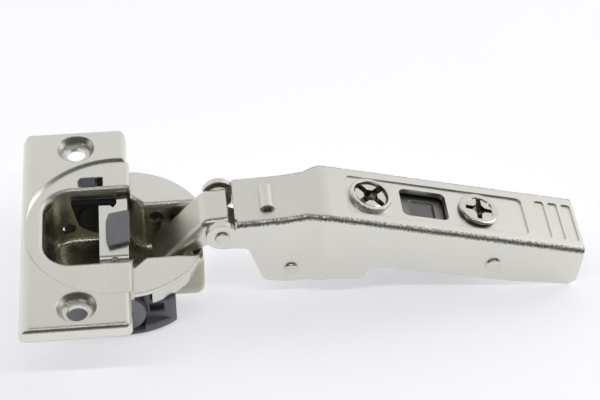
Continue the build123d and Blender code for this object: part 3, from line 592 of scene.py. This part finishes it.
def turned(builder, profile):
    """Turned piece from radius and height pairs that run from the axis back to the axis."""
    points = [builder.verts.new((radius, 0, height)) for radius, height in profile]
    edges = [builder.edges.new(pair) for pair in zip(points, points[1:])]
    bmesh.ops.spin(
        builder, geom=points + edges, cent=(0, 0, 0), axis=(0, 0, 1), dvec=(0, 0, 0), angle=2 * pi,
        steps=TURNED_SIDES, use_merge=True)
    bmesh.ops.remove_doubles(builder, verts=builder.verts[:], dist=AXIS_GAP)


def place_screw(builder, name, along, turn, material, node):
    """Turn a screw's faces outward, set it on the arm's sloping rear and let it stand for its node."""
    bmesh.ops.recalc_face_normals(builder, faces=builder.faces[:])
    place = (
        Matrix.Translation(Vector((CREST[0], 0, CREST[1])) * MILLIMETRE)
        @ Matrix.Rotation(SLOPE, 4, "Y")
        @ Matrix.Translation((along * MILLIMETRE, 0, 0))
        @ Matrix.Rotation(turn, 4, "Z")
        @ Matrix.Scale(MILLIMETRE, 4))
    builder.transform(place)
    mesh = bpy.data.meshes.new(name)
    builder.to_mesh(mesh)
    builder.free()
    mesh.materials.append(material)
    screw = bpy.data.objects.new(name, mesh)
    bpy.context.scene.collection.objects.link(screw)
    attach(screw, node)
    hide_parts(node)


class HingeStage(bpy.types.Operator):
    """Lay the floor, hang the lights and set the camera"""
    bl_idname = "hinge.stage"
    bl_label = "Stage"

    def execute(self, context):
        sizes = context.scene.hinge_sizes
        colours = context.scene.hinge_colours
        make_floor(sizes, colours)
        make_lights(context)
        make_camera(context, sizes)
        context.scene.view_settings.view_transform = "Standard"
        return {"FINISHED"}


def make_floor(sizes, colours):
    """Pale floor that the cup's bottom and the arm's rear end both touch."""
    front = Vector((FLOOR_FRONT[0], 0, FLOOR_FRONT[1])) * MILLIMETRE
    rear = Vector((FLOOR_REAR[0], 0, FLOOR_REAR[1])) * MILLIMETRE
    mesh = bpy.data.meshes.new("floor")
    builder = bmesh.new()
    bmesh.ops.create_grid(builder, x_segments=1, y_segments=1, size=sizes.floor_width / 2)
    along = (rear - front).normalized()
    turn = Matrix((along, Vector((0, 1, 0)), along.cross(Vector((0, 1, 0))))).transposed()
    builder.transform(Matrix.Translation((front + rear) / 2) @ turn.to_4x4())
    builder.to_mesh(mesh)
    builder.free()
    floor = bpy.data.objects.new("floor", mesh)
    bpy.context.scene.collection.objects.link(floor)
    finish = Finish("pale floor")
    clouds = finish.noise(FLOOR_CLOUD * MILLIMETRE, detail=2.0)
    tone = finish.blend_colour(clouds, solid_colour(colours.floor), solid_colour(colours.floor, 0.985))
    finish.surface(
        Base_Color=tone, Roughness=0.6 + clouds * 0.1, Emission_Color=solid_colour(colours.floor),
        Emission_Strength=FLOOR_GLOW)
    mesh.materials.append(finish.material)


def add_light(name, place, size, power, colour):
    """Soft oblong light that points at the middle of the hinge; place and size are in metres."""
    data = bpy.data.lights.new(name, "AREA")
    data.shape = "RECTANGLE"
    data.size = size[0]
    data.size_y = size[1]
    data.energy = power
    data.color = colour
    light = bpy.data.objects.new(name, data)
    light.location = place
    light.rotation_mode = "QUATERNION"
    middle = Vector((0.04, 0, 0))
    light.rotation_quaternion = (middle - Vector(place)).to_track_quat("-Z", "Y")
    bpy.context.scene.collection.objects.link(light)


def make_room(context):
    """Pale studio that is darker where the camera stands."""
    world = bpy.data.worlds.new("pale studio")
    world.use_nodes = True
    tree = world.node_tree
    place = tree.nodes.new("ShaderNodeTexCoord")
    toward = tree.nodes.new("ShaderNodeVectorMath")
    toward.operation = "DOT_PRODUCT"
    toward.inputs[1].default_value = Vector((-0.08, -0.66, 0.75)).normalized()
    tree.links.new(place.outputs["Generated"], toward.inputs[0])
    shade = tree.nodes.new("ShaderNodeMapRange")
    shade.interpolation_type = "SMOOTHSTEP"
    tree.links.new(toward.outputs["Value"], shade.inputs["Value"])
    for name, value in (("From Min", 0.13), ("From Max", 0.50), ("To Min", 0.88), ("To Max", 0.07)):
        shade.inputs[name].default_value = value
    background = tree.nodes["Background"]
    background.inputs["Color"].default_value = (0.97, 0.975, 1.0, 1.0)
    tree.links.new(shade.outputs["Result"], background.inputs["Strength"])
    context.scene.world = world


def make_lights(context):
    """Pale room, a square light up on the right and a thin strip overhead."""
    make_room(context)
    add_light("right", (0.85, 0.3, 0.62), size=(0.5, 0.5), power=1.6, colour=(1.0, 0.995, 0.99))
    add_light("strip", (0.04, -0.22, 0.85), size=(1.3, 0.045), power=1.7, colour=(1.0, 0.99, 0.97))


def make_camera(context, sizes):
    """Camera at the photograph's angle."""
    level = cos(CAMERA_ELEVATION)
    forward = Vector((sin(CAMERA_AZIMUTH) * level, cos(CAMERA_AZIMUTH) * level, -sin(CAMERA_ELEVATION)))
    right = Vector((cos(CAMERA_AZIMUTH), -sin(CAMERA_AZIMUTH), 0))
    up = right.cross(forward)
    tilted_right = right * cos(CAMERA_ROLL) + up * sin(CAMERA_ROLL)
    tilted_up = up * cos(CAMERA_ROLL) - right * sin(CAMERA_ROLL)
    data = bpy.data.cameras.new("camera")
    data.lens = sizes.lens
    data.sensor_width = 36.0
    data.clip_start = 0.01
    data.clip_end = 20
    camera = bpy.data.objects.new("camera", data)
    camera.rotation_mode = "QUATERNION"
    camera.rotation_quaternion = Matrix((tilted_right, tilted_up, -forward)).transposed().to_quaternion()
    camera.location = Vector(CAMERA_PLACE) * MILLIMETRE
    context.scene.collection.objects.link(camera)
    context.scene.camera = camera


class HingePanel(bpy.types.Panel):
    """Sidebar panel of the hinge"""
    bl_idname = "HINGE_PT_panel"
    bl_label = "Concealed hinge"
    bl_space_type = "VIEW_3D"
    bl_region_type = "UI"
    bl_category = "Hinge"

    def draw(self, context):
        layout = self.layout
        for group in (context.scene.hinge_sizes, context.scene.hinge_colours):
            for key in group.__annotations__:
                layout.prop(group, key)
        for step in STEPS:
            layout.operator(step.bl_idname)


STEPS = (HingeMetals, HingePlastics, HingeMouldedEdges, HingeSideScrew, HingeDepthCam, HingeStage)
CLASSES = (HingeSizes, HingeColours) + STEPS + (HingePanel,)


def register():
    """Add the classes and the scene's settings."""
    for one in CLASSES:
        bpy.utils.register_class(one)
    bpy.types.Scene.hinge_sizes = bpy.props.PointerProperty(type=HingeSizes)
    bpy.types.Scene.hinge_colours = bpy.props.PointerProperty(type=HingeColours)


def unregister():
    """Take the settings and the classes away."""
    del bpy.types.Scene.hinge_colours
    del bpy.types.Scene.hinge_sizes
    for one in reversed(CLASSES):
        bpy.utils.unregister_class(one)


def main():
    """Finish the hinge."""
    register()
    bpy.ops.hinge.metals()
    bpy.ops.hinge.plastics()
    bpy.ops.hinge.moulded_edges()
    bpy.ops.hinge.side_screw()
    bpy.ops.hinge.depth_cam()
    bpy.ops.hinge.stage()


if __name__ == "__main__":
    main()
